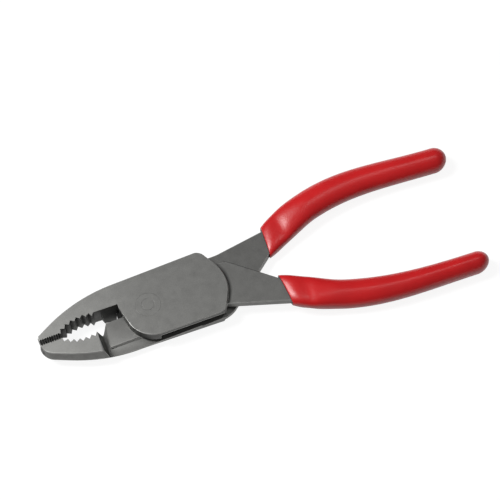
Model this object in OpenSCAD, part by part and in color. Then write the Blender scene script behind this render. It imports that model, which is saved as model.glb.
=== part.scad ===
// Slip-joint combination pliers with dipped handles.
// X runs along the tool towards the handles, Y across it, and Z up through the joint.
// The origin is the pivot axis on the plane that the tool lies on.

/* [Overall] */
// Thickness of the joint over both halves
joint_thickness = 11.5; // [9.5:0.1:14]
// Distance from the pivot to the tip of the jaws
jaw_reach = 49.9; // [46:0.1:60]
// Distance from the pivot to the end of the upper grip
upper_reach = 154.6; // [128:0.1:186]
// Distance from the pivot to the end of the lower grip
lower_reach = 150.5; // [125:0.1:181]
// Angle that the jaws stand open as drawn
rest_opening = 2.2; // [0.5:0.1:40]

/* [Jaws] */
// Distance from the pivot to the bend in the back of the upper jaw
upper_knee = 30; // [25:0.1:36]
// Distance from the pivot to the bend in the back of the lower jaw
lower_knee = 26.1; // [22:0.1:33]
// Height of the upper jaw's back over the closing line
upper_back = 14.9; // [14:0.1:18]
// Depth of the lower jaw's back under the closing line
lower_back = 15.7; // [14.5:0.1:19]
// Radius of the bend in each jaw's back
back_radius = 68; // [45:1:75]
// Height of the upper jaw's blunt nose
upper_nose = 3.2; // [2.5:0.1:4]
// Height of the lower jaw's blunt nose
lower_nose = 5; // [4:0.1:6]
// Thickness of the jaws at the tip
tip_thickness = 9; // [7.5:0.1:9.5]
// Distance from the pivot to where the jaws begin to thin
taper_reach = 12; // [10:0.5:20]
// How far a jaw's outer wall leans in from the parting line to a face
jaw_draft = 1.3; // [0.5:0.1:2]
// How far the lower jaw's outer wall leans in to its back face
back_bevel = 2.4; // [1:0.1:3]
// How far the lower half's edge leans in to its back face at the joint
lap_draft = 0.4; // [0.2:0.1:1.5]

/* [Teeth] */
// Pitch of the fine teeth at the tip
fine_pitch = 1; // [0.8:0.05:1.4]
// Depth of the fine teeth
fine_depth = 0.5; // [0.3:0.05:0.8]
// Angle by which the fine teeth open away from the tip on each jaw
nip_angle = 1.5; // [0:0.1:2.5]
// Gap that is left between the tips of the jaws when they are closed
closing_gap = 0.2; // [0.1:0.05:0.6]
// Pitch of the coarse teeth in the throat
coarse_pitch = 2.6; // [2.1:0.05:3.2]
// Depth of the coarse teeth
coarse_depth = 1.4; // [1:0.05:1.8]
// Radius that the coarse teeth follow on each jaw
throat_radius = 17; // [14:0.1:20.5]
// Distance from the pivot to the middle of the throat
throat_reach = 29; // [28:0.1:30]
// Height of the coarse teeth over the closing line at the middle of the throat
throat_height = 4.05; // [3.3:0.05:4.9]

/* [Cutter] */
// Distance from the pivot to the front wall of the cutter notch in the upper jaw
notch_reach = 23.4; // [22:0.1:24]
// Height of the cutter notch over the closing line at the front face
notch_height = 4.8; // [4.3:0.1:6]
// Distance from the pivot to the front corner of the upper jaw's cutting edge
cutter_reach = 20.4; // [18:0.1:21]
// Height of the upper jaw's cutting edge over the closing line, at the back face
cutter_height = 2.9; // [2.5:0.1:4]
// Distance from the pivot to the front corner of the lower jaw's cutting edge
anvil_reach = 19.8; // [17:0.1:20.5]
// Height of the lower jaw's cutting edge over the closing line
anvil_height = 1.1; // [0:0.1:1.6]

/* [Joint] */
// Distance from the pivot to the front edge of the plate at the cutter notch
plate_front = 12.5; // [11:0.1:13]
// How far the plate's front edge leans back at its lower corner
plate_rake = 4.1; // [0:0.1:6]
// Radius of the plate's lower front corner
plate_front_radius = 13; // [10:0.5:16]
// Distance from the pivot to the plate's lower corner at its round end
plate_reach = 31; // [29:0.1:37]
// Distance from the pivot to the plate's upper corner at its round end
plate_top_reach = 29.2; // [28:0.1:35]
// Distance from the pivot to the point where the tangents of the round end meet
plate_end = 38.1; // [37:0.1:46]
// Height of that point over the axis
plate_end_height = 1.2; // [0:0.1:3]
// Radius of the plate's round end
plate_end_radius = 17; // [13:0.5:18]
// Height of the plate's upper corner over the axis
plate_top = 17.2; // [16:0.1:20]
// Depth of the plate's lower corner under the axis
plate_bottom = 14.3; // [13:0.1:16.5]
// How much lower the plate's edge lies at its front corner
plate_slant = 0.9; // [0:0.1:2]
// Height of the plate's edge over its undercut
plate_lip = 2.2; // [1.5:0.1:3]
// How far the plate's edge is undercut
plate_undercut = 1.5; // [0.5:0.1:2]
// Height of the lower half's hidden upper edge over the axis
lap_top = 14; // [13.5:0.1:14.1]
// Distance from the pivot to the hidden front edge of the lower half
lap_front = 14.2; // [14.1:0.05:14.3]
// Gap between the two halves where they lap
lap_gap = 0.2; // [0.1:0.05:0.4]
// Radius of the shoulder in the upper jaw's hidden back half
shoulder_radius = 14.5; // [14.4:0.1:15]
// Angle at which that shoulder ends with the jaws closed
shoulder_angle = 134; // [134:1:140]
// Distance from the pivot to the heel of the lower jaw's toothed face
heel_reach = 24.9; // [24:0.1:26.5]
// Slope of the heel along the tool
heel_run = 2; // [1:0.1:2.5]
// Depth of the forged strip and rim round the ground bearing pad
pad_step = 0.9; // [0.2:0.1:1.1]
// Distance from the axis to the lower edge of the bearing pad
pad_bottom = 10.4; // [9:0.1:12]
// How far the forged strip falls from the pad to the edge of the lower half
strip_fall = 0.8; // [0:0.1:1.5]

/* [Pivot] */
// Diameter of the pin's flush head
head_diameter = 11; // [9.5:0.1:13.5]
// Thickness of the pin's flush head
head_thickness = 2.6; // [2:0.1:3]
// Diameter of the ring groove on the pin's head
ring_diameter = 5.6; // [4:0.1:7]
// Diameter of the pin's shank
pin_diameter = 7.2; // [6:0.1:8.7]
// Width over the flats of the shank
pin_flats = 5.2; // [5:0.1:5.8]
// Diameter of the pin's riveted tenon
tenon_diameter = 4.4; // [3.5:0.1:4.8]
// Diameter of the retaining washer
washer_diameter = 11.4; // [9.5:0.1:13.7]
// Thickness of the retaining washer
washer_thickness = 1.25; // [1:0.05:1.5]
// Distance between the two positions of the slip joint
slip_travel = 6.5; // [5:0.1:6.6]
// Direction of the slip slot from the tool's axis
slip_angle = 115; // [110:1:120]
// Clearance of the running fits, on the radius
running_gap = 0.05; // [0.02:0.01:0.1]
// Clearance of the washer in its recess, on the radius
recess_gap = 0.3; // [0.2:0.05:0.5]

/* [Handles] */
// Distance from the pivot to the mouth of the upper grip
dip_line = 60.2; // [57:0.1:66]
// How much nearer to the pivot the mouth of the lower grip lies
dip_offset = 1; // [0:0.1:2]
// Width of the steel arms at the mouth of the grips
arm_width = 11.3; // [10:0.1:13]
// How far the arms lie under the faces of the joint
arm_drop = 2; // [1:0.1:2.4]
// How far the arms lie below the middle of their grips at the mouth
arm_shift = 0.4; // [0:0.1:1]
// Angle of the lower arm's outer edge to the tool's axis
arm_flare = 16.5; // [13:0.1:19]
// Height over the axis of the bend in the lower arm's upper edge
arm_crown = 9.4; // [8:0.1:11]
// Distance from the plate's round end to that bend
crown_run = 0.9; // [0.5:0.1:3]
// Distance from the pivot to the bend in the upper arm's upper edge
shin_reach = 37; // [35:0.1:45]
// Distance from the plate's lower corner to the bend in the upper arm's lower edge
heel_bend = 2.2; // [1:0.1:4]
// Height of the upper handle over the axis at the mouth of its grip
upper_root = 12.1; // [10.5:0.1:14.5]
// Height of the upper handle over the axis at its end
upper_spread = 21.5; // [17:0.1:26]
// Depth of the lower handle under the axis at the mouth of its grip
lower_root = 12.3; // [10.5:0.1:14.5]
// Depth of the lower handle under the axis at its end
lower_spread = 28; // [23:0.1:34]
// Angle at which both handles leave the joint
root_angle = 26.7; // [22:0.1:32]
// Length over which the upper handle keeps that angle
upper_pull = 39.6; // [34:0.1:48]
// Length over which the lower handle keeps that angle
lower_pull = 34.7; // [28:0.1:42]
// Angle at which the upper handle turns in at its end
upper_turn = 3.8; // [0:0.1:8]
// Angle at which the lower handle turns in at its end
lower_turn = -0.6; // [-3:0.1:5]
// Length over which both handles keep their end angle
end_pull = 35; // [28:0.5:42]
// Width of the steel core inside the grips
core_width = 6.6; // [5:0.1:7]
// Width of the steel core at its end
core_end_width = 4.6; // [3.5:0.1:5]
// Height of the steel core inside the grips
core_height = 6.4; // [5:0.1:6.5]

/* [Grips] */
// Thickness of the coat at the sides of the arms at the mouth
coat = 2.4; // [2:0.1:2.9]
// Angle by which the grips' mouths lean from square to the tool's axis
mouth_lean = 5; // [0:0.5:8]
// Width of the upper grip at its middle
upper_width = 14.1; // [11.5:0.1:17]
// Width of the upper grip where its round end begins
upper_end_width = 11.8; // [9.5:0.1:14]
// Width of the lower grip at its middle
lower_width = 13.2; // [11:0.1:16]
// Width of the lower grip where its round end begins
lower_end_width = 9.8; // [8.5:0.1:12]
// Length of each grip's round end
end_round = 6.6; // [4:0.1:9]
// Angle by which each grip's round end leans to the upper side
end_lean = 5; // [0:0.5:10]

/* [Hidden] */
$fn = 96;
steel = [0.5, 0.5, 0.49];
bright_steel = [0.6, 0.6, 0.59];
vinyl = [0.76, 0.1, 0.12];

// Heights of the lap, the arms and the core
middle = joint_thickness / 2;
front_lap = middle + lap_gap / 2;
rear_lap = middle - lap_gap / 2;
arm_low = front_lap;
arm_high = joint_thickness - arm_drop;
front_arm_middle = (arm_low + arm_high) / 2;
rear_arm_middle = joint_thickness - front_arm_middle;
tip_inset = (joint_thickness - tip_thickness) / 2;
recess_depth = washer_thickness + 2 * running_gap;

// A length past the whole tool, and one by which a cut runs past a face
far = upper_reach + lower_reach;
over = 1;

// Radii of small corners
nose_radius = 1.5;
chin_radius = 7;
crotch_radius = 1.2;
anvil_radius = 0.5;
plate_radius = 5;
heel_radius = 12;
arm_radius = 3;
shin_radius = 20;

// Small steps and margins
tip_land = 0.9;
nose_rake = 0.7;
tooth_land = 0.4;
cutter_run = 0.7;
crotch_run = 0.4;
crotch_rise = 0.3;
pad_margin = 1.4;
lap_inset = 1;
lap_start_angle = 259;
lip_start = 1;
arm_lap = 11;
crown_fall = 0.6;
joggle_lead = 3;
joggle_run = 16;
ring_depth = 0.2;
ring_width = 0.5;

// Shares of a handle's length: where its sections stand square to it, where the arm has narrowed
// to the core, where the grip is at its middle width, and where the core ends
square_share = 0.25;
neck_share = 0.22;
swell_share = 0.26;
core_share = 0.97;

// Squareness of the grips' sections at the mouth and along the handle, where 2 is an ellipse
mouth_squareness = 3;
grip_squareness = 2.3;

// Angle that a grip's round end turns through before its last flat ring
cap_angle = 84;

// Places that follow from the sizes above
arm_root = plate_reach - arm_lap;
heel_foot = heel_reach - heel_run;
joggle_start = dip_line + joggle_lead;
joggle_end = joggle_start + joggle_run;

// Counts of steps along round stretches
corner_steps = 10;
core_steps = 14;
grip_steps = 22;
grip_sides = 24;
cap_steps = 5;

upper_handle = [
    [dip_line, upper_root],
    [dip_line, upper_root] + upper_pull * [cos(root_angle), sin(root_angle)],
    [upper_reach - end_round, upper_spread] + end_pull * [-cos(upper_turn), sin(upper_turn)],
    [upper_reach - end_round, upper_spread]
];
lower_handle = [
    [dip_line - dip_offset, -lower_root],
    [dip_line - dip_offset, -lower_root] + lower_pull * [cos(root_angle), -sin(root_angle)],
    [lower_reach - end_round, -lower_spread] - end_pull * [cos(lower_turn), sin(lower_turn)],
    [lower_reach - end_round, -lower_spread]
];

function unit(v) = v / norm(v);
function mix(a, b, x) = a + (b - a) * x;
function ease(x) = let (c = min(1, max(0, x))) c * c * (3 - 2 * c);
function flat(v) = [v.x, v.y];
function sharp(points) = [for (p = points) [p.x, p.y, 0]];
function backwards(list) = [for (i = [len(list) - 1:-1:0]) list[i]];

// A corner [x, y, radius] between its neighbours, as the points of its arc
function corner(before, at, after) =
    let (
        p = flat(at),
        u = unit(flat(before) - p),
        w = unit(flat(after) - p),
        half = acos(u * w) / 2,
        centre = p + unit(u + w) * at.z / sin(half),
        start = p + u * at.z / tan(half) - centre,
        turn = (cross(u, w) > 0 ? -1 : 1) * (180 - 2 * half),
        from = atan2(start.y, start.x)
    )
    at.z == 0
        ? [p]
        : [
            for (i = [0:corner_steps])
                let (a = from + turn * i / corner_steps)
                    centre + at.z * [cos(a), sin(a)]
        ];

// A closed outline from its corners
function outline(v) =
    let (n = len(v)) [for (i = [0:n - 1]) each corner(v[(i + n - 1) % n], v[i], v[(i + 1) % n])];

// Fine teeth of a jaw that opens upwards, from the nose to the throat
fine_start = -jaw_reach + tip_land;
throat_centre = throat_height - throat_radius;
throat_start = -throat_reach - sqrt(pow(throat_radius, 2) - pow(tooth_land - throat_centre, 2));
fine_count = max(1, floor((throat_start - fine_start - tooth_land) / fine_pitch));
fine_teeth = [
    for (i = [0:2 * fine_count])
        let (run = i * fine_pitch / 2)
            [fine_start + run, closing_gap / 2 + run * tan(nip_angle) + (i % 2) * fine_depth]
];

// Coarse teeth of the same jaw, along the throat's arc to a place on the axis, less some points at the end
function throat_angle(x) = acos((x + throat_reach) / throat_radius);
function coarse_teeth(end_x, less) =
    let (
        from = throat_angle(throat_start),
        sweep = from - throat_angle(end_x),
        count = round(sweep * PI / 180 * throat_radius / coarse_pitch)
    )
    [
        for (i = [0:2 * count - less])
            let (a = from - sweep * i / (2 * count), r = throat_radius + (i % 2) * coarse_depth)
                [-throat_reach, throat_centre] + r * [cos(a), sin(a)]
    ];

// Outline of the upper jaw and plate at the parting line
front_head = outline(concat(
    [[-jaw_reach + nose_rake, closing_gap / 2, 0]],
    sharp(fine_teeth),
    sharp(coarse_teeth(-notch_reach + coarse_pitch / 2, 2)),
    [
        [-notch_reach, notch_height, 0],
        [-cutter_reach, notch_height, 0],
        [-cutter_reach + cutter_run, cutter_height, 0],
        [-plate_front, cutter_height, 0],
        [-plate_front + plate_rake, -plate_bottom - plate_slant, plate_front_radius],
        [plate_reach, -plate_bottom, plate_radius],
        [plate_end, plate_end_height, plate_end_radius],
        [plate_top_reach, plate_top, plate_radius],
        [-upper_knee, upper_back, back_radius],
        [-jaw_reach, upper_nose, nose_radius]
    ]
));

// The hidden front edge of the lower half, round the pivot from its upper edge to the cutting edge
lap_from = asin(lap_top / lap_front);
lap_to = asin(anvil_height / lap_front);
lap_edge = [
    for (i = [0:corner_steps])
        let (a = 180 - mix(lap_from, lap_to, i / corner_steps))
            lap_front * [cos(a), sin(a)]
];

// Outline of the lower jaw and the lap behind the plate at the parting line
rear_head = outline(concat(
    [
        [-jaw_reach, -lower_nose, chin_radius],
        [-lower_knee, -lower_back, back_radius],
        [plate_reach - lap_inset, -lower_back, plate_radius],
        [plate_end, -plate_end_height, plate_end_radius],
        [plate_reach, lap_top, plate_radius]
    ],
    sharp(lap_edge),
    [
        [-anvil_reach, anvil_height, anvil_radius],
        [-heel_foot + crotch_run, -throat_height + crotch_rise, crotch_radius]
    ],
    [for (p = backwards(coarse_teeth(-heel_reach, 0))) [p.x, -p.y, 0]],
    [for (p = backwards(fine_teeth)) [p.x, -p.y, 0]],
    [[-jaw_reach, -closing_gap / 2, 0]]
));

// Outer edge of the upper jaw, leaning in by the given amount
function upper_edge(lean) = outline([
    [-jaw_reach + lean / 2, -far, 0],
    [far, -far, 0],
    [far, plate_top, 0],
    [plate_top_reach, plate_top, 0],
    [-upper_knee, upper_back - lean, back_radius],
    [-jaw_reach + lean / 2, upper_nose - lean, nose_radius]
]);

// Outer edge of the lower jaw, leaning in by one amount at the jaw and another at the joint
function lower_edge(lean, joint_lean) = outline([
    [-jaw_reach + lean / 2, far, 0],
    [-jaw_reach + lean / 2, -lower_nose + lean, chin_radius],
    [-lower_knee, -lower_back + lean, back_radius],
    [plate_end, -lower_back + joint_lean, 0],
    [far, -lower_back + joint_lean, 0],
    [far, far, 0]
]);

// A point, a direction and a section's side direction along a handle
function handle_point(h, t) =
    pow(1 - t, 3) * h[0] + 3 * pow(1 - t, 2) * t * h[1] + 3 * (1 - t) * t * t * h[2] + pow(t, 3) * h[3];
function handle_angle(h, t) =
    let (d = pow(1 - t, 2) * (h[1] - h[0]) + 2 * (1 - t) * t * (h[2] - h[1]) + t * t * (h[3] - h[2]))
        atan2(d.y, d.x);
function section_side(h, t, mouth_angle) =
    let (a = mix(mouth_angle, handle_angle(h, t), ease(t / square_share))) [-sin(a), cos(a)];

// How far a section has turned from the flat arm into the round grip
function joggle(h, t) = ease((handle_point(h, t).x - joggle_start) / (joggle_end - joggle_start));

// One edge of the steel core along a handle
function core_edge(h, way) = [
    for (i = [0:core_steps])
        let (
            t = core_share * i / core_steps,
            neck = ease(t / neck_share),
            half = mix(arm_width, mix(core_width, core_end_width, t), neck) / 2,
            off = way * half - arm_shift * (1 - neck)
        )
            handle_point(h, t) + off * section_side(h, t, 0)
];

// A ring round a handle: half its width, half its height, its height over the plane and its squareness
function ring(centre, side, half_width, half_height, z, power) = [
    for (i = [0:grip_sides - 1])
        let (
            a = 360 * i / grip_sides,
            across = half_width * sign(cos(a)) * pow(abs(cos(a)), 2 / power),
            up = half_height * sign(sin(a)) * pow(abs(sin(a)), 2 / power)
        )
            [centre.x + across * side.x, centre.y + across * side.y, z + up]
];

// Half the width of a grip: its mouth, its middle and its end lie on one smooth curve
function grip_half(width, end_width, t) =
    let (mouth = arm_width + 2 * coat)
        (
            mix(mouth, width, ease(t / swell_share))
            + (end_width - width) * ease((t - swell_share) / (1 - swell_share))
        ) / 2;

// The rings of a grip from its mouth to its round end
function grip_rings(h, width, end_width, arm_z, mouth_angle) =
    concat(
        [
            for (i = [0:grip_steps])
                let (
                    t = i / grip_steps,
                    j = joggle(h, t),
                    half_height = mix((arm_high - arm_low) / 2 + arm_drop, middle, j)
                )
                    ring(
                        handle_point(h, t), section_side(h, t, mouth_angle), grip_half(width, end_width, t),
                        half_height, mix(arm_z, middle, j), mix(mouth_squareness, grip_squareness, j)
                    )
        ],
        [
            for (i = [1:cap_steps])
                let (a = cap_angle * i / cap_steps, turn = handle_angle(h, 1) + end_lean)
                    ring(
                        h[3] + end_round * sin(a) * [cos(turn), sin(turn)], section_side(h, 1, mouth_angle),
                        end_width / 2 * cos(a), middle * cos(a), middle, grip_squareness
                    )
        ]
    );

// A closed skin over rings of points with the same count
module skin(rings) {
    n = len(rings[0]);
    last = len(rings) - 1;
    sides = [
        for (k = [0:last - 1], i = [0:n - 1])
            let (a = k * n + i, b = k * n + (i + 1) % n) each [[a, b + n, b], [a, a + n, b + n]]
    ];
    start = [for (i = [0:n - 1]) i];
    end = [for (i = [n - 1:-1:0]) last * n + i];
    polyhedron([for (r = rings) each r], concat(sides, [start, end]), convexity = 8);
}

// An outline raised to a height
function raised(points, z) = [for (p = points) [p.x, p.y, z]];

// A side view in X and Z, drawn out across the tool
module side_view(points) {
    rotate([90, 0, 0])
        linear_extrude(2 * far, center = true)
            polygon(points);
}

// The thinning of both jaws towards the tip
module jaw_taper() {
    side_view([
        [-jaw_reach - over, tip_inset],
        [-taper_reach, 0],
        [far, 0],
        [far, joint_thickness],
        [-taper_reach, joint_thickness],
        [-jaw_reach - over, joint_thickness - tip_inset]
    ]);
}

// The profile of the lower arm, which lies in the front half of the joint
module arm_side() {
    core_low = middle - core_height / 2;
    core_high = middle + core_height / 2;
    side_view([
        [0, arm_low],
        [joggle_start, arm_low],
        [joggle_end, core_low],
        [far, core_low],
        [far, core_high],
        [joggle_end, core_high],
        [joggle_start, arm_high],
        [0, arm_high]
    ]);
}

// The lower arm and its core, seen from above with the jaws closed
module front_arm() {
    mouth_y = -lower_root - arm_shift - arm_width / 2;
    root_y = mouth_y + (dip_line - dip_offset - arm_root) * tan(arm_flare);
    intersection() {
        linear_extrude(joint_thickness)
            polygon(outline(concat(
                [[arm_root, root_y, 0]],
                sharp(core_edge(lower_handle, -1)),
                sharp(backwards(core_edge(lower_handle, 1))),
                [[plate_end + crown_run, arm_crown, arm_radius], [arm_root, arm_crown + crown_fall, 0]]
            )));
        arm_side();
    }
}

// The upper arm and its core, which lie in the rear half of the joint
module rear_arm() {
    heel_y = -lower_back + lap_draft;
    intersection() {
        linear_extrude(joint_thickness)
            polygon(outline(concat(
                [[arm_root, heel_y, 0], [plate_reach + heel_bend, heel_y, heel_radius]],
                sharp(core_edge(upper_handle, -1)),
                sharp(backwards(core_edge(upper_handle, 1))),
                [[shin_reach, lap_top, shin_radius], [arm_root, lap_top, 0]]
            )));
        translate([0, 0, joint_thickness])
            mirror([0, 0, 1])
                arm_side();
    }
}

// The room that the rear half takes under the plate and behind the upper jaw
module front_lap_room() {
    translate([0, 0, -over])
        linear_extrude(front_lap + over) {
            circle(shoulder_radius);
            polygon([
                [0, 0],
                far * [cos(lap_start_angle), sin(lap_start_angle)],
                [plate_end + over, -far],
                [plate_end + over, far],
                far * [cos(shoulder_angle), sin(shoulder_angle)]
            ]);
        }
}

// The slope of the upper jaw's cutter from its edge at the back face to the front face
module notch_slope() {
    slope = (notch_height - cutter_height) / joint_thickness;
    translate([-cutter_reach, 0, 0])
        rotate([90, 0, 90])
            linear_extrude(cutter_reach - plate_front)
                polygon([
                    [cutter_height - over, 0],
                    [cutter_height, 0],
                    [notch_height + over * slope, joint_thickness + over],
                    [cutter_height - over, joint_thickness + over]
                ]);
}

// The room under the lip along the plate's lower edge
module lip_room() {
    lip_foot = joint_thickness - plate_lip;
    slope = (lip_foot - front_lap) / plate_undercut;
    turn = atan2(plate_slant, plate_reach + plate_front - plate_rake);
    translate([plate_reach, -plate_bottom, 0])
        rotate(turn)
            translate([lip_start - plate_reach, 0, 0])
                rotate([90, 0, 90])
                    linear_extrude(far)
                        polygon([
                            [plate_undercut + over / slope, front_lap - over],
                            [-over, lip_foot + over * slope],
                            [-far, lip_foot + over * slope],
                            [-far, front_lap - over]
                        ]);
}

// The room over the lap behind the heel of the lower jaw
module rear_lap_room() {
    side_view([
        [-heel_reach - over * heel_run / (middle + pad_step), joint_thickness + over],
        [-heel_reach, joint_thickness],
        [-heel_foot, rear_lap - pad_step],
        [far, rear_lap - pad_step],
        [far, joint_thickness + over]
    ]);
}

// The room over the forged strip outside the pad, which falls to the edge of the lower half
module strip_room() {
    strip = rear_lap - pad_step;
    slope = strip_fall / (lower_back - pad_bottom);
    translate([-heel_foot, 0, 0])
        rotate([90, 0, 90])
            linear_extrude(far)
                polygon([
                    [-pad_bottom, strip],
                    [-pad_bottom, strip + pad_step + over],
                    [-far, strip + pad_step + over],
                    [-far, strip - (far - pad_bottom) * slope]
                ]);
}

// The ground pad that the plate slides on
module bearing_pad() {
    translate([0, 0, rear_lap - pad_step - over])
        linear_extrude(pad_step + over)
            intersection() {
                polygon(rear_head);
                polygon([
                    [-heel_foot + pad_margin, -pad_bottom],
                    [plate_reach, -pad_bottom],
                    [plate_reach, lap_top],
                    [-anvil_reach, lap_top],
                    [-anvil_reach, anvil_height]
                ]);
            }
}

// A slot along the slip joint's travel: two round ends with a neck between them
module slip_slot(radius, neck) {
    rotate(slip_angle) {
        circle(radius);
        translate([slip_travel, 0])
            circle(radius);
        translate([0, -neck / 2])
            square([slip_travel, neck]);
    }
}

// Lower jaw, lap and upper arm
module rear_lever() {
    seat = pin_diameter / 2 + running_gap;
    recess = washer_diameter / 2 + recess_gap;
    color(steel)
        difference() {
            union() {
                intersection() {
                    difference() {
                        linear_extrude(joint_thickness)
                            polygon(rear_head);
                        rear_lap_room();
                    }
                    skin([
                        raised(lower_edge(back_bevel, lap_draft), 0),
                        raised(lower_edge(0, 0), middle),
                        raised(lower_edge(jaw_draft, 0), joint_thickness)
                    ]);
                    jaw_taper();
                }
                bearing_pad();
                rear_arm();
            }
            strip_room();
            translate([0, 0, -over])
                linear_extrude(joint_thickness)
                    slip_slot(seat, pin_flats + 2 * running_gap);
            translate([0, 0, -over])
                linear_extrude(recess_depth + over)
                    slip_slot(recess, 2 * recess);
        }
}

// Upper jaw, plate and lower arm
module front_lever() {
    color(steel)
        rotate(-rest_opening)
            difference() {
                union() {
                    intersection() {
                        difference() {
                            linear_extrude(joint_thickness)
                                polygon(front_head);
                            front_lap_room();
                            notch_slope();
                            lip_room();
                        }
                        skin([
                            raised(upper_edge(jaw_draft), 0),
                            raised(upper_edge(0), middle),
                            raised(upper_edge(jaw_draft), joint_thickness)
                        ]);
                        jaw_taper();
                    }
                    front_arm();
                }
                cylinder(d = pin_diameter + 2 * running_gap, h = joint_thickness);
                translate([0, 0, joint_thickness - head_thickness - running_gap])
                    cylinder(d = head_diameter + 2 * running_gap, h = joint_thickness);
            }
}

// Pin with a flush head, a shank with two flats and a riveted tenon
module pivot_pin() {
    shank_top = joint_thickness - head_thickness;
    color(bright_steel) {
        difference() {
            translate([0, 0, shank_top])
                cylinder(d = head_diameter, h = head_thickness);
            translate([0, 0, joint_thickness - ring_depth])
                difference() {
                    cylinder(d = ring_diameter + ring_width, h = over);
                    cylinder(d = ring_diameter - ring_width, h = 3 * over, center = true);
                }
        }
        translate([0, 0, front_lap])
            cylinder(d = pin_diameter, h = shank_top - front_lap);
        intersection() {
            translate([0, 0, washer_thickness])
                cylinder(d = pin_diameter, h = front_lap - washer_thickness);
            rotate(slip_angle)
                cube([2 * pin_diameter, pin_flats, 2 * joint_thickness], center = true);
        }
        cylinder(d = tenon_diameter, h = washer_thickness);
    }
}

// Washer that keeps the pin in its slot
module pivot_washer() {
    color(bright_steel)
        difference() {
            cylinder(d = washer_diameter, h = washer_thickness);
            translate([0, 0, -over])
                cylinder(d = tenon_diameter, h = washer_thickness + 2 * over);
        }
}

// Dipped grip on the upper handle
module upper_grip() {
    color(vinyl)
        difference() {
            skin(grip_rings(upper_handle, upper_width, upper_end_width, rear_arm_middle, -mouth_lean));
            rear_arm();
        }
}

// Dipped grip on the lower handle
module lower_grip() {
    color(vinyl)
        rotate(-rest_opening)
            difference() {
                skin(grip_rings(lower_handle, lower_width, lower_end_width, front_arm_middle, mouth_lean));
                front_arm();
            }
}

rear_lever();
front_lever();
pivot_pin();
pivot_washer();
upper_grip();
lower_grip();
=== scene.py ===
"""Looks of slip-joint combination pliers: forged steel halves, a flush pivot and dipped vinyl grips."""

import math

import bmesh
import bpy
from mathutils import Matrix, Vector
from mathutils.kdtree import KDTree


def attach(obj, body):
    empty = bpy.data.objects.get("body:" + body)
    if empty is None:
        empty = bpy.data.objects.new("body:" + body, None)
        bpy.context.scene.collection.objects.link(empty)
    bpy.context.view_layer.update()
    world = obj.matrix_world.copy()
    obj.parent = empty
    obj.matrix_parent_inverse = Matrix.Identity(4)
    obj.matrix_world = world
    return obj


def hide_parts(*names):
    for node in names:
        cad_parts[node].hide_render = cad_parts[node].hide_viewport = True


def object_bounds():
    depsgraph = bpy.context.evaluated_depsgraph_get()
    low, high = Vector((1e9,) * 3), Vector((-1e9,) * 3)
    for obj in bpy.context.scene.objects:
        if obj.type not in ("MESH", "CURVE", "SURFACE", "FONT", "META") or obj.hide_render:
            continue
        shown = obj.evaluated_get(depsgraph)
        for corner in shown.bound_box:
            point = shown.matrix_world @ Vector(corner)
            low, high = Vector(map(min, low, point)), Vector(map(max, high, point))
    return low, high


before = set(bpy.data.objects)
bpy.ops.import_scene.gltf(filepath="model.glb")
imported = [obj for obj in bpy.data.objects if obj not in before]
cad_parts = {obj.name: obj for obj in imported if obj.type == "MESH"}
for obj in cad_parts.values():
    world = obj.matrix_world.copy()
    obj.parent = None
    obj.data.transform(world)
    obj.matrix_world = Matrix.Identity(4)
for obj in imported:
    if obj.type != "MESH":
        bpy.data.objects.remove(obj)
cad_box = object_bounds()

# Sizes are in millimetres, unless a comment says otherwise
MM = 0.001
THICKNESS = (cad_box[1].z - cad_box[0].z) / MM

# Meshing, in metres: points and levels that count as the same, and how near a cut takes up and joins points
SAME_POINT = 1e-7
SAME_LEVEL = 1e-6
CUT_REACH = 5e-6
CUT_MERGE = 1e-6

# Edges of steel: which are sharp, which flat, what makes a corner, and which run out in a narrow one
SHARP_ANGLE = math.radians(12)
FLAT_ANGLE = math.radians(0.6)
CORNER_ANGLE = math.radians(30)
NARROW_ANGLE = math.radians(12)
NARROW_LENGTH = 5

# Rims: their rounding on levers, washer and pin's head, and the share of a short edge that it may take
RIM = 0.35
WASHER_RIM = 0.2
HEAD_RIM = 0.04
RIM_SHARE = 0.28
RIM_STEPS = 3
RIM_LAYER = "bevel_weight_edge"

# Clean-up after the rounding: how near points are joined, and how far large faces rule the shading
WELD = 0.002
NORMAL_WEIGHT = 100

# Folds of a rim over itself: how sharp and long one is, the stub that is then left crisp, and the tries
FOLD_ANGLE = math.radians(150)
FOLD_LENGTH = 0.03
STUB = 0.8
FOLD_TRIES = 8

# Limits of that: how level an outer face is, which keeps its rim, and how short a rest of a rim is dropped
FACE_TILT = 0.9
SPECK = 2

# Joint: where the faces are split across the pivot, and the space about it in which edges stay crisp
SPLIT_PLACE = 0.7
PIVOT_CLEAR = 7.2

# Front arm's upper edge, close over the rear arm: where it begins, how near its level, and its chamfer,
# painted in deep shade as a dark line
FORK_START = 38.3
FORK_SLOPE = 0.7
FORK_REACH = 0.01
FORK_RIM = 0.3

# Jaw gap, where the walls take the dark tone, for blackened teeth and for painted shade: its reach along the
# tool, its height each way and how it widens
GAP_NOSE = -51.0
GAP_HEEL = -11.6
GAP_HALF = 8.5
GAP_START = 2.2
GAP_SPREAD = 0.3

# Walls: how steep they are, and where the plate's lower one ends
WALL_TILT = 0.4
WALL_END = 31
WALL_TOP = -4

# Worn steps, which take the rims' bright tone, as wear and painted highlight: their greatest height, where
# they begin, and how the long one on the pad faces and leans
STEP = 1.2
STEP_START = -45
STEP_FACING = 0.9
STEP_LEAN = 0.5

# Lap under the plate: the place behind which a face belongs to an arm, and the height over which it is dark
LAP_REAR = 0.6
LAP_LOW = 1.1

# Levels as shares of the thickness: the lap's, how near it, and the range between the outer faces
LAP_LEVEL = 0.5
LAP_REACH = 0.1
LOW_LEVEL = 0.1
HIGH_LEVEL = 0.9

# Pin's head: its radius, how far it fills its seat, how deep its ring can be cut and how deep it is here
HEAD_RADIUS = 5.5
HEAD_EDGE = 0.005
GROOVE_CUT = 0.3
GROOVE = 0.09

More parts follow.
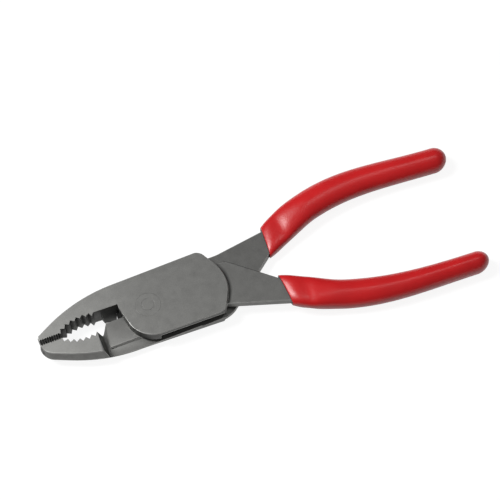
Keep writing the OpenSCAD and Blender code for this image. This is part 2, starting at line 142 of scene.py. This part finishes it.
# Grips: the handle's driving sizes, as in the construction
ARM_WIDTH = 11.3
ARM_DROP = 2
LAP_GAP = 0.2
COAT = 2.4
ROOT_ANGLE = 26.7
MOUTH_LEAN = 5
END_PULL = 35
END_ROUND = 6.6
END_LEAN = 5
CAP_ANGLE = 84
REST_OPENING = 2.2
JOGGLE_START = 63.2
SQUARE_SHARE = 0.25
SWELL_SHARE = 0.26
MOUTH_SQUARENESS = 3
GRIP_SQUARENESS = 2.3

# Grips: the skin's own sizes. It lies inside the construction, with a longer joggle and a crest
SKIN = 0.02
JOGGLE_RUN = 22
GRIP_CREST = 1.6
CAP_LENGTH = END_ROUND * math.sin(math.radians(CAP_ANGLE)) - SKIN

# Grips: lip at the mouth, waist behind it and the hidden skirt inside
LIP_RUN = 4.5
LIP_RISE = 1.2
LIP_EDGE = 0.4
LIP_SIDE = 0.35
WAIST = 0.5
WAIST_PLACE = 9
WAIST_RUN = 2.6
SKIRT = 1.2
SINK = 0.4

# Grips: counts of steps
LIP_STEPS = 12
# Rings at the mouth's front edge that take the dark red of painted shade
SHADED_EDGE_STEPS = 2
GRIP_STEPS = 80
GRIP_SIDES = 56
CAP_STEPS = 12


def mix(a, b, share):
    """The value at a share of the way from one to the other."""
    return a + (b - a) * share


def ease(x):
    """A smooth rise from 0 to 1."""
    x = min(1, max(0, x))
    return x * x * (3 - 2 * x)


def heading(angle):
    """The unit vector at an angle, in radians."""
    return Vector((math.cos(angle), math.sin(angle)))


def link(obj):
    """Puts an object in the scene."""
    bpy.context.scene.collection.objects.link(obj)
    return obj


# Materials. Each noise has a size in millimetres and a count of octaves

# The values of noise between which a tone or a roughness changes
LOW, HIGH = 0.3, 0.7

WARM = (1.0, 1.0, 0.96)
METAL = 0.8
STEEL_CLOUDS = (4, 5)
STEEL_SPECKLE = (0.35, 2)
SPECKLE_TONES = (0.82, 1.0)
STEEL_PATCHES = (2.5, 4)
STEEL_GRAIN = (0.3, 3)
STEEL_DEPTH = 0.03

# Painted shade on the front arm along the round corner at the plate's end: the corner's centre and radius,
# the shade's width and tone
PAINTED_CORNER_SHADE = ((20, 0), 17.1, 1.2, 0.5)

VINYL_IOR = 1.5
VINYL_COAT = 0.22
VINYL_COAT_ROUGHNESS = 0.27
VINYL_ROUGHNESS = (0.34, 0.44)
VINYL_CLOUDS = (14, 3)
VINYL_PATCHES = (3, 4)
VINYL_GRAIN = (0.8, 3)
VINYL_DEPTH = 0.1
VINYL_BUMP = 0.75


class Shader:
    """A material with one Principled shader, and short ways to add nodes to it."""

    def __init__(self, name):
        self.material = bpy.data.materials.new(name)
        self.material.use_nodes = True
        self.nodes = self.material.node_tree.nodes
        self.links = self.material.node_tree.links
        self.bsdf = self.nodes["Principled BSDF"]
        self.place = self.nodes.new("ShaderNodeTexCoord").outputs["Object"]

    def set(self, **values):
        """Sets the shader's sockets to constants."""
        for name, value in values.items():
            self.bsdf.inputs[name.replace("_", " ")].default_value = value

    def feed(self, value, name):
        """Links a value to one of the shader's sockets."""
        self.links.new(value, self.bsdf.inputs[name])

    def noise(self, size, detail):
        """Noise whose features are about that size, in millimetres."""
        noise = self.nodes.new("ShaderNodeTexNoise")
        noise.inputs["Scale"].default_value = 1 / (size * MM)
        noise.inputs["Detail"].default_value = detail
        self.links.new(self.place, noise.inputs["Vector"])
        return noise.outputs["Fac"]

    def ramp(self, value, *stops):
        """A colour or grey ramp over a value, from pairs of place and colour."""
        node = self.nodes.new("ShaderNodeValToRGB")
        for element, (place, colour) in zip(node.color_ramp.elements, stops):
            element.position = place
            element.color = (*colour, 1) if hasattr(colour, "__len__") else (colour, colour, colour, 1)
        self.links.new(value, node.inputs["Fac"])
        return node.outputs["Color"]

    def vary(self, noise, low, high):
        """A colour or grey that changes with noise of that size and detail."""
        return self.ramp(self.noise(*noise), (LOW, low), (HIGH, high))

    def multiply(self, a, b):
        """The product of two colours."""
        node = self.nodes.new("ShaderNodeMix")
        node.data_type = "RGBA"
        node.blend_type = "MULTIPLY"
        node.inputs["Factor"].default_value = 1
        self.links.new(a, node.inputs["A"])
        self.links.new(b, node.inputs["B"])
        return node.outputs["Result"]

    def compute(self, operation, a, b=0):
        """A number worked out from one or two others, each a constant or linked."""
        node = self.nodes.new("ShaderNodeMath")
        node.operation = operation
        for value, socket in zip((a, b), node.inputs):
            if isinstance(value, (int, float)):
                socket.default_value = value
            else:
                self.links.new(value, socket)
        return node.outputs[0]

    def ring(self, centre, radius, width, shade):
        """Painted shade just outside a circle about an upright axis, fading out over that width, in
        millimetres.
        """
        mapping = self.nodes.new("ShaderNodeMapping")
        mapping.vector_type = "TEXTURE"
        mapping.inputs["Location"].default_value = (centre[0] * MM, centre[1] * MM, 0)
        self.links.new(self.place, mapping.inputs["Vector"])
        parts = self.nodes.new("ShaderNodeSeparateXYZ")
        self.links.new(mapping.outputs["Vector"], parts.inputs["Vector"])
        squares = [self.compute("POWER", self.compute("ABSOLUTE", parts.outputs[axis]), 2) for axis in "XY"]
        away = self.compute("SQRT", self.compute("ADD", *squares))
        share = self.compute("DIVIDE", self.compute("SUBTRACT", away, radius * MM), width * MM)
        return self.ramp(share, (0, shade), (1, 1.0))

    def bump(self, height, depth, strength):
        """Raises the surface by a height, in millimetres."""
        node = self.nodes.new("ShaderNodeBump")
        node.inputs["Strength"].default_value = strength
        node.inputs["Distance"].default_value = depth * MM
        self.links.new(height, node.inputs["Height"])
        self.feed(node.outputs["Normal"], "Normal")


def steel(name, dark, light, roughness=(0.44, 0.52), grain=0.25, painted_shade=None):
    """Blasted forged steel: cloudy warm greys, fine speckle, an even grain and painted shade along a round
    corner.
    """
    shader = Shader(name)
    shader.set(Metallic=METAL)
    tones = [tuple(tone * part for part in WARM) for tone in (dark, light)]
    tone = shader.multiply(shader.vary(STEEL_CLOUDS, *tones), shader.vary(STEEL_SPECKLE, *SPECKLE_TONES))
    # Painted shade along a round corner, where one is given
    if painted_shade:
        tone = shader.multiply(tone, shader.ring(*painted_shade))
    shader.feed(tone, "Base Color")
    shader.feed(shader.vary(STEEL_PATCHES, *roughness), "Roughness")
    shader.bump(shader.noise(*STEEL_GRAIN), STEEL_DEPTH, grain)
    return shader.material


def vinyl(name, dark, light):
    """Dipped vinyl: deep red with faint clouds, a soft gloss and a slight skin."""
    shader = Shader(name)
    shader.set(IOR=VINYL_IOR, Coat_Weight=VINYL_COAT, Coat_Roughness=VINYL_COAT_ROUGHNESS)
    shader.feed(shader.vary(VINYL_CLOUDS, dark, light), "Base Color")
    shader.feed(shader.vary(VINYL_PATCHES, *VINYL_ROUGHNESS), "Roughness")
    shader.bump(shader.noise(*VINYL_GRAIN), VINYL_DEPTH, VINYL_BUMP)
    return shader.material


# Tones by place: the outer faces lightest; the walls, the pad and the arms darker
forged = steel("forged_steel", 0.226, 0.252)
lap = steel("lap_steel", 0.187, 0.211)
arm = steel("arm_steel", 0.17, 0.195)
# The front arm's steel, with painted shade where the plate's round end meets it
corner = steel("corner_steel_painted_shade", 0.195, 0.22, painted_shade=PAINTED_CORNER_SHADE)
# Rims and low steps: brighter steel, partly edge wear and partly painted highlight
rim_and_highlight = steel("worn_rim_and_highlight", 0.33, 0.38, (0.42, 0.5), 0.12)
# Dark steel: the teeth's blackened steel, and painted shade on the notch walls and on the plate's lower wall
tooth_and_shade = steel("dark_tooth_and_shade", 0.08, 0.105, (0.5, 0.62), 0.2)
shade = steel("lap_shade", 0.016, 0.024, (0.6, 0.7), 0.2)
side = steel("forged_side", 0.165, 0.205, (0.48, 0.58))
ground = steel("ground_pivot", 0.226, 0.252, grain=0.15)
red_vinyl = vinyl("red_vinyl", (0.56, 0.005, 0.007), (0.64, 0.007, 0.009))
# Dark red for the lip's front edge: painted shade
vinyl_edge_painted_shade = vinyl("vinyl_edge_painted_shade", (0.07, 0.003, 0.004), (0.11, 0.004, 0.005))

# A lever's materials, and their places in the list
lever = [forged, rim_and_highlight, tooth_and_shade, side, lap, arm, shade, corner]
OUTER, WORN_AND_HIGHLIGHT, DARK, FLANK, PAD, REAR_ARM, SHADED, FRONT_ARM = range(len(lever))


# Steel pieces: the node's solid and its edges


def is_sharp(edge):
    return edge.calc_face_angle(0) > SHARP_ANGLE


def share_face(one, two):
    return bool(set(one.link_faces) & set(two.link_faces))


def spread(vertex, one, two):
    """The angle between two edges that leave a vertex."""
    ways = [edge.other_vert(vertex).co - vertex.co for edge in (one, two)]
    return ways[0].angle(ways[1])


def runs_out(edge):
    """True for a long soft edge that runs out in a very narrow corner beside a sharp one."""
    if edge.seam or edge.calc_length() < NARROW_LENGTH * MM or is_sharp(edge):
        return False
    for vertex in edge.verts:
        for other in vertex.link_edges:
            if other is edge or not share_face(other, edge) or not is_sharp(other):
                continue
            if spread(vertex, edge, other) < NARROW_ANGLE:
                return True
    return False


def split(mesh, place, normal):
    """Cuts the flat faces along a plane, for good."""
    every = mesh.verts[:] + mesh.edges[:] + mesh.faces[:]
    cut = bmesh.ops.bisect_plane(mesh, geom=every, dist=CUT_REACH, plane_co=place, plane_no=normal)
    for part in cut["geom_cut"]:
        if isinstance(part, bmesh.types.BMEdge):
            part.seam = True
    bmesh.ops.remove_doubles(mesh, verts=mesh.verts, dist=CUT_MERGE)


def shape_head(mesh):
    """Leaves the pin's head flush and quiet: a shallow ring, and an edge that nearly fills its seat."""
    for vertex in mesh.verts:
        radius = vertex.co.xy.length / MM
        if radius > HEAD_RADIUS - HEAD_EDGE:
            vertex.co.xy *= (radius + HEAD_EDGE) / radius
        elif vertex.co.z / MM > THICKNESS - GROOVE_CUT and vertex.co.z / MM < THICKNESS - GROOVE:
            vertex.co.z = (THICKNESS - GROOVE) * MM


def welded(node):
    """The node's solid with its flat faces whole again, but split across the pivot, so none has a hole."""
    mesh = bmesh.new()
    mesh.from_mesh(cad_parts[node].data)
    bmesh.ops.remove_doubles(mesh, verts=mesh.verts, dist=SAME_POINT)
    if node == "pivot_pin":
        shape_head(mesh)
    split(mesh, (SPLIT_PLACE * MM, 0, 0), (1, 0, 0))
    if node == "rear_lever":
        split(mesh, (0, LAP_LOW * MM, 0), (0, 1, 0))
    bmesh.ops.dissolve_limit(
        mesh, angle_limit=FLAT_ANGLE, verts=mesh.verts, edges=mesh.edges, use_dissolve_boundaries=False,
        delimit={"SEAM"},
    )
    mesh.normal_update()
    bmesh.ops.dissolve_edges(mesh, edges=[e for e in mesh.edges if runs_out(e)], use_verts=False)
    mesh.normal_update()
    return mesh


# Steel pieces: places on the levers and what is made there


def in_gap(place):
    """True in the space between the jaws, where the teeth and the cutter notch are."""
    x, y = place.x / MM, place.y / MM
    return GAP_NOSE < x < GAP_HEEL and abs(y) < min(GAP_HALF, GAP_START + GAP_SPREAD * (x - GAP_NOSE))


def by_pivot(place):
    """True at the pivot, where a lever's edges stay crisp."""
    return place.xy.length / MM < PIVOT_CLEAR


def nowhere(place):
    """True at no place, for a piece whose edges are all rounded."""
    return False


def by_fork(place):
    """True along the front arm's upper edge, which lies close over the rear arm."""
    x, y = place.x / MM, place.y / MM
    above = y > FORK_SLOPE * (FORK_START - x)
    return x > FORK_START and above and abs(place.z / MM - (THICKNESS - ARM_DROP)) < FORK_REACH


def under_plate(place):
    """True along the plate's lower wall, which stands in its own shade."""
    x, y, z = place / MM
    return GAP_HEEL < x < WALL_END and y < WALL_TOP and z > THICKNESS / 2


def lever_material(face, way):
    """The place of a face's material in the list, with way 1 for the front lever and -1 for the rear one."""
    centre = face.calc_center_median()
    if abs(face.normal.z) < WALL_TILT:
        heights = [vertex.co.z for vertex in face.verts]
        # Low steps take the bright rim tone: wear and painted highlight
        if centre.x > STEP_START * MM and max(heights) - min(heights) < STEP * MM:
            return WORN_AND_HIGHLIGHT
        # Walls in the jaw gap and under the plate take the dark tone: painted shade, and on the teeth also
        # their blackened steel
        dark = in_gap(centre) or (way > 0 and under_plate(centre))
        return DARK if dark and way * face.normal.y < WALL_TILT else FLANK
    level = centre.z / THICKNESS / MM
    if not LOW_LEVEL < level < HIGH_LEVEL:
        return OUTER
    if centre.x > LAP_REAR * MM:
        return REAR_ARM if way < 0 else FRONT_ARM
    in_lap = centre.y > LAP_LOW * MM and abs(level - LAP_LEVEL) < LAP_REACH
    return SHADED if in_lap else PAD


def slope_step(mesh):
    """Leans the long low step on the rear lever's pad, which is worn and not square."""
    steps = [f for f in mesh.faces if f.material_index == WORN_AND_HIGHLIGHT and f.normal.y < -STEP_FACING]
    low = min(v.co.z for f in steps for v in f.verts)
    for vertex in {v for f in steps for v in f.verts if v.co.z < low + SAME_LEVEL}:
        vertex.co.y -= STEP_LEAN * MM
    mesh.normal_update()


def chamfer_fork(mesh):
    """Cuts a chamfer along the front arm's upper edge, painted in deep shade as a dark line."""
    fork = [e for e in mesh.edges if is_sharp(e) and all(by_fork(v.co) for v in e.verts)]
    bmesh.ops.bevel(mesh, geom=fork, offset=FORK_RIM * MM, segments=1, affect="EDGES", material=SHADED)


# Steel pieces: rounded rims


def leave_out(edge, layer):
    """Takes an edge out of the rounding."""
    edge[layer] = 0
    edge.smooth = False


def stays_crisp(edge, keep):
    """True for an edge in the jaw gap, at a place to keep or beside a face in deep shade."""
    if any(in_gap(v.co) or keep(v.co) for v in edge.verts):
        return True
    return any(f.material_index == SHADED for f in edge.link_faces)


def crosses(edge, vertex, other):
    """True where another sharp edge leaves the vertex at an angle, and doesn't just carry the edge on."""
    if other is edge or not is_sharp(other):
        return False
    way = vertex.co - edge.other_vert(vertex).co
    return way.angle(other.other_vert(vertex).co - vertex.co) > CORNER_ANGLE


def ends_narrow(edge, layer):
    """True where the rounding would run out in a narrow corner beside an edge that isn't rounded."""
    for vertex in edge.verts:
        for other in vertex.link_edges:
            if other is edge or other[layer] > 0 or not share_face(other, edge):
                continue
            if spread(vertex, edge, other) < CORNER_ANGLE:
                return True
    return False


def weigh_rims(mesh, keep):
    """Gives each sharp edge its share of the rim's rounding, less where the edges near it are short."""
    layer = mesh.edges.layers.float.new(RIM_LAYER)
    sharp = [e for e in mesh.edges if e.is_manifold and is_sharp(e)]
    for edge in sharp:
        if stays_crisp(edge, keep):
            leave_out(edge, layer)
            continue
        near = [e.calc_length() for v in edge.verts for e in v.link_edges if crosses(edge, v, e)]
        edge[layer] = min([1] + [RIM_SHARE * length / (RIM * MM) for length in near])
    narrow = True
    while narrow:
        narrow = [e for e in sharp if e[layer] > 0 and ends_narrow(e, layer)]
        for edge in narrow:
            leave_out(edge, layer)


def on_face(vertex):
    """True on the outline of the outer face, which a crisp corner would leave unevenly shaded."""
    return any(f.normal.z > FACE_TILT and f.material_index == OUTER for f in vertex.link_faces)


def is_fold(edge):
    return edge.calc_length() > FOLD_LENGTH * MM and edge.calc_face_angle(0) > FOLD_ANGLE


def folded_corners(piece, mesh):
    """The mesh's corners at which the piece's rounding folds over itself."""
    rounded = bmesh.new()
    rounded.from_object(piece, bpy.context.evaluated_depsgraph_get())
    bmesh.ops.triangulate(rounded, faces=rounded.faces)
    rounded.normal_update()
    tree = KDTree(len(mesh.verts))
    for vertex in mesh.verts:
        tree.insert(vertex.co, vertex.index)
    tree.balance()
    folds = [e for e in rounded.edges if is_fold(e)]
    corners = sorted({tree.find(v.co)[1] for e in folds for v in e.verts})
    rounded.free()
    mesh.verts.ensure_lookup_table()
    return [mesh.verts[i] for i in corners if not on_face(mesh.verts[i])]


def leave_crisp(mesh, vertex):
    """Ends the rounding a little before a corner."""
    layer = mesh.edges.layers.float[RIM_LAYER]
    for edge in [e for e in vertex.link_edges if e[layer] > 0]:
        length = edge.calc_length()
        if length > 2 * STUB * MM:
            weight = edge[layer]
            end = bmesh.utils.edge_split(edge, vertex, STUB * MM / length)[1]
            for part in end.link_edges:
                part[layer] = weight
            edge = next(e for e in vertex.link_edges if end in e.verts)
        leave_out(edge, layer)


def drop_specks(mesh):
    """Leaves crisp each short rest of a rounding that is cut off on both sides."""
    layer = mesh.edges.layers.float[RIM_LAYER]
    seen = set()
    for start in mesh.edges:
        chain = []
        queue = [start]
        while queue:
            edge = queue.pop()
            if edge[layer] > 0 and edge not in seen:
                seen.add(edge)
                chain.append(edge)
                queue += [e for v in edge.verts for e in v.link_edges]
        if sum(edge.calc_length() for edge in chain) < SPECK * MM:
            for edge in chain:
                leave_out(edge, layer)


def unfold(piece, mesh):
    """Ends the piece's rounding before each corner at which it folds over itself."""
    for _ in range(FOLD_TRIES):
        mesh.verts.index_update()
        corners = folded_corners(piece, mesh)
        if not corners:
            break
        for vertex in corners:
            leave_crisp(mesh, vertex)
        mesh.to_mesh(piece.data)
        piece.data.update()
    drop_specks(mesh)
    mesh.to_mesh(piece.data)


def steel_piece(node, body, materials, rim_size=RIM, keep=by_pivot, way=0):
    """A copy of a steel node with rounded rims and, for a lever of that way, materials by place."""
    mesh = welded(node)
    for face in mesh.faces:
        face.material_index = lever_material(face, way) if way else 0
    if way < 0:
        slope_step(mesh)
    if way > 0:
        chamfer_fork(mesh)
    weigh_rims(mesh, keep)
    for face in mesh.faces:
        face.smooth = True
    data = bpy.data.meshes.new(node + "_body")
    mesh.to_mesh(data)
    for material in materials:
        data.materials.append(material)
    piece = link(bpy.data.objects.new(node + "_body", data))
    rounding = piece.modifiers.new("rims", "BEVEL")
    rounding.limit_method = "WEIGHT"
    rounding.width = rim_size * MM
    rounding.segments = RIM_STEPS
    rounding.use_clamp_overlap = False
    if way:
        # The rounding takes the bright rim tone: edge wear and painted highlight
        rounding.material = WORN_AND_HIGHLIGHT
    unfold(piece, mesh)
    mesh.free()
    weld = piece.modifiers.new("weld", "WELD")
    weld.merge_threshold = WELD * MM
    normals = piece.modifiers.new("normals", "WEIGHTED_NORMAL")
    normals.keep_sharp = True
    normals.weight = NORMAL_WEIGHT
    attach(piece, body)
    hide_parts(node)


steel_piece("front_lever", "front_half", lever, way=1)
steel_piece("rear_lever", "rear_half", lever, way=-1)
steel_piece("pivot_pin", "pivot", [ground], HEAD_RIM, nowhere)
steel_piece("pivot_washer", "pivot", [ground], WASHER_RIM, nowhere)


# Grips


def bezier(points, t):
    a, b, c, d = points
    return (1 - t) ** 3 * a + 3 * (1 - t) ** 2 * t * b + 3 * (1 - t) * t * t * c + t ** 3 * d


def bezier_angle(points, t):
    a, b, c, d = points
    way = (1 - t) ** 2 * (b - a) + 2 * (1 - t) * t * (c - b) + t * t * (d - c)
    return math.atan2(way.y, way.x)


class Grip:
    """A dipped sleeve along a handle, with sizes in millimetres."""

    def __init__(self, way, mouth, pull, end, end_angle, width, end_width, arm_z, opening):
        start = Vector(mouth)
        end = Vector(end)
        leave = heading(way * math.radians(ROOT_ANGLE))
        arrive = heading(math.radians(end_angle))
        self.handle = (start, start + pull * leave, end - END_PULL * arrive, end)
        self.mouth_angle = -way * math.radians(MOUTH_LEAN)
        self.speed = 3 * pull * leave.x
        self.width = width
        self.end_width = end_width
        self.arm_z = arm_z
        self.opening = opening

    def ring(self, centre, angle, half_width, half_height, z, crest, squareness):
        """A superellipse across the handle, with its own power at the sides and at the top."""
        across_way = Vector((-math.sin(angle), math.cos(angle)))
        points = []
        for i in range(GRIP_SIDES):
            a = 2 * math.pi * i / GRIP_SIDES
            across = half_width * math.copysign(abs(math.cos(a)) ** (2 / crest), math.cos(a))
            up = half_height * math.copysign(abs(math.sin(a)) ** (2 / squareness), math.sin(a))
            place = centre + across * across_way
            points.append(Vector((place.x, place.y, z + up)))
        return points

    def half_width(self, t):
        """Half the width at a place along the handle: a swell behind the mouth, then a taper."""
        mouth = ARM_WIDTH + 2 * COAT
        swell = mix(mouth, self.width, ease(t / SWELL_SHARE))
        narrow = (self.end_width - self.width) * ease((t - SWELL_SHARE) / (1 - SWELL_SHARE))
        return (swell + narrow) / 2

    def section(self, t, side=0, top=0):
        """The ring at a place along the handle, drawn in from the surface at its sides and its top."""
        centre = bezier(self.handle, t)
        turned = ease((centre.x - JOGGLE_START) / JOGGLE_RUN)
        arm_half = (THICKNESS / 2 - LAP_GAP / 2 - ARM_DROP) / 2
        half_height = mix(arm_half + ARM_DROP, THICKNESS / 2, turned)
        return self.ring(
            centre,
            mix(self.mouth_angle, bezier_angle(self.handle, t), ease(t / SQUARE_SHARE)),
            self.half_width(t) - SKIN - side,
            half_height - SKIN - top,
            mix(self.arm_z, THICKNESS / 2, turned),
            mix(MOUTH_SQUARENESS, GRIP_CREST, turned),
            mix(MOUTH_SQUARENESS, GRIP_SQUARENESS, turned),
        )

    def rings(self):
        """All rings from the hidden skirt to the round end, and the point at its tip."""
        inner = ARM_DROP + SINK
        rings = [self.section(SKIRT / self.speed, inner, inner)]
        for i in range(LIP_STEPS + 1):
            share = (i / LIP_STEPS) ** 2
            fall = (1 - share) ** 2
            near = max(0, 1 - share * LIP_RUN / LIP_EDGE)
            edge = LIP_EDGE * (1 - math.sqrt(1 - near * near))
            rings.append(
                self.section(LIP_RUN * share / self.speed, LIP_SIDE * fall + edge / 2, LIP_RISE * fall + edge)
            )
        first = LIP_RUN / self.speed
        for i in range(1, GRIP_STEPS + 1):
            t = mix(first, 1, i / GRIP_STEPS)
            away = (t * self.speed - WAIST_PLACE) / WAIST_RUN
            rings.append(self.section(t, 0, WAIST * math.exp(-away * away)))
        angle = bezier_angle(self.handle, 1)
        cap = CAP_LENGTH * heading(angle + math.radians(END_LEAN))
        for i in range(1, CAP_STEPS):
            a = math.pi / 2 * i / CAP_STEPS
            rings.append(
                self.ring(
                    self.handle[3] + math.sin(a) * cap,
                    angle,
                    (self.end_width / 2 - SKIN) * math.cos(a),
                    (THICKNESS / 2 - SKIN) * math.cos(a),
                    THICKNESS / 2,
                    GRIP_CREST,
                    GRIP_SQUARENESS,
                )
            )
        tip = self.handle[3] + cap
        return rings, Vector((tip.x, tip.y, THICKNESS / 2))

    def build(self, node, body):
        """Makes the sleeve from its rings, turned to the lever's opening at rest."""
        rings, tip = self.rings()
        mesh = bmesh.new()
        loops = [[mesh.verts.new(p) for p in ring] for ring in rings]
        for step, (one, two) in enumerate(zip(loops, loops[1:])):
            for i in range(GRIP_SIDES):
                j = (i + 1) % GRIP_SIDES
                face = mesh.faces.new((one[i], one[j], two[j], two[i]))
                # The first rings at the mouth take the dark red: painted shade on the lip's front edge
                face.material_index = 1 if step <= SHADED_EDGE_STEPS else 0
        pole = mesh.verts.new(tip)
        for i in range(GRIP_SIDES):
            mesh.faces.new((loops[-1][i], loops[-1][(i + 1) % GRIP_SIDES], pole))
        mesh.faces.new(list(reversed(loops[0])))
        turn = math.radians(-self.opening)
        for vertex in mesh.verts:
            x, y, z = vertex.co
            vertex.co = MM * Vector(
                (x * math.cos(turn) - y * math.sin(turn), x * math.sin(turn) + y * math.cos(turn), z)
            )
        bmesh.ops.recalc_face_normals(mesh, faces=mesh.faces)
        for face in mesh.faces:
            face.smooth = True
        data = bpy.data.meshes.new(node + "_sleeve")
        mesh.to_mesh(data)
        mesh.free()
        data.materials.append(red_vinyl)
        data.materials.append(vinyl_edge_painted_shade)
        piece = link(bpy.data.objects.new(node + "_sleeve", data))
        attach(piece, body)
        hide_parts(node)


front_arm_z = (THICKNESS / 2 + LAP_GAP / 2 + THICKNESS - ARM_DROP) / 2
upper_grip = Grip(
    way=1, mouth=(60.2, 12.1), pull=39.6, end=(148, 21.5), end_angle=-3.8, width=14.1, end_width=11.8,
    arm_z=THICKNESS - front_arm_z, opening=0,
)
lower_grip = Grip(
    way=-1, mouth=(59.2, -12.3), pull=34.7, end=(143.9, -28), end_angle=-0.6, width=13.2, end_width=9.8,
    arm_z=front_arm_z, opening=REST_OPENING,
)
upper_grip.build("upper_grip", "rear_half")
lower_grip.build("lower_grip", "front_half")


# Floor, light and camera, with places and sizes in metres

FLOOR_SIZE = 6
FLOOR_LEVEL = -0.0001
FLOOR_CLOUDS = (400, 2)
FLOOR_TONES = (0.15, 0.17)
FLOOR_ROUGHNESS = 0.9
FLOOR_GLOSS = 0.1
FLOOR_GLOW = 0.9
KEY_PLACE = Vector((-0.5, 0.28, 0.85))
KEY_SIZE = (0.35, 0.25)
KEY_POWER = 9.6
STRIP_PLACE = Vector((0.38, 0.03, 0.87))
STRIP_SIZE = (0.35, 0.07)
STRIP_POWER = 0.65
HORIZON = 0.12
ZENITH = 0.2

# The photo's camera, with lens and sensor in millimetres and angles in degrees
CAMERA_PLACE = (-0.05455, -0.25103, 0.56031)
CAMERA_TILT = 27
CAMERA_TURN = -22.2
LENS = 100
SENSOR = 36
CLIP_START = 0.01


def floor():
    """A pale floor that reads as white to the eye and in reflections, and keeps the shadow."""
    bpy.ops.mesh.primitive_plane_add(size=FLOOR_SIZE, location=(0, 0, FLOOR_LEVEL))
    plane = bpy.context.object
    plane.name = "floor"
    shader = Shader("pale_floor")
    shader.set(Roughness=FLOOR_ROUGHNESS, Specular_IOR_Level=FLOOR_GLOSS, Emission_Color=(1, 1, 1, 1))
    shader.feed(shader.vary(FLOOR_CLOUDS, *FLOOR_TONES), "Base Color")
    rays = shader.nodes.new("ShaderNodeLightPath").outputs
    seen = shader.compute("MAXIMUM", rays["Is Camera Ray"], rays["Is Glossy Ray"])
    seen = shader.compute("MAXIMUM", seen, rays["Is Transmission Ray"])
    shader.feed(shader.compute("MULTIPLY", seen, FLOOR_GLOW), "Emission Strength")
    plane.data.materials.append(shader.material)


def softbox(name, place, size, power):
    """A rectangular lamp that faces the tool."""
    data = bpy.data.lights.new(name, "AREA")
    data.shape = "RECTANGLE"
    data.size, data.size_y = size
    data.energy = power
    lamp = link(bpy.data.objects.new(name, data))
    lamp.location = place
    lamp.rotation_euler = Vector((0, 0, 1)).rotation_difference(place).to_euler()


def ambient():
    """Soft white light from above that fades towards the horizon."""
    world = bpy.data.worlds.new("studio")
    world.use_nodes = True
    nodes = world.node_tree.nodes
    links = world.node_tree.links
    parts = nodes.new("ShaderNodeSeparateXYZ")
    fade = nodes.new("ShaderNodeValToRGB")
    for element, grey in zip(fade.color_ramp.elements, (HORIZON, ZENITH)):
        element.color = (grey, grey, grey, 1)
    links.new(nodes.new("ShaderNodeTexCoord").outputs["Generated"], parts.inputs["Vector"])
    links.new(parts.outputs["Z"], fade.inputs["Fac"])
    links.new(fade.outputs["Color"], nodes["Background"].inputs["Color"])
    bpy.context.scene.world = world


def camera():
    """The camera that was fitted to the photo."""
    data = bpy.data.cameras.new("camera")
    data.lens = LENS
    data.sensor_width = SENSOR
    data.clip_start = CLIP_START
    view = link(bpy.data.objects.new("camera", data))
    view.location = CAMERA_PLACE
    view.rotation_euler = (math.radians(CAMERA_TILT), 0, math.radians(CAMERA_TURN))
    bpy.context.scene.camera = view


floor()
softbox("key", KEY_PLACE, KEY_SIZE, KEY_POWER)
softbox("strip", STRIP_PLACE, STRIP_SIZE, STRIP_POWER)
ambient()
camera()
bpy.context.scene.view_settings.view_transform = "Standard"
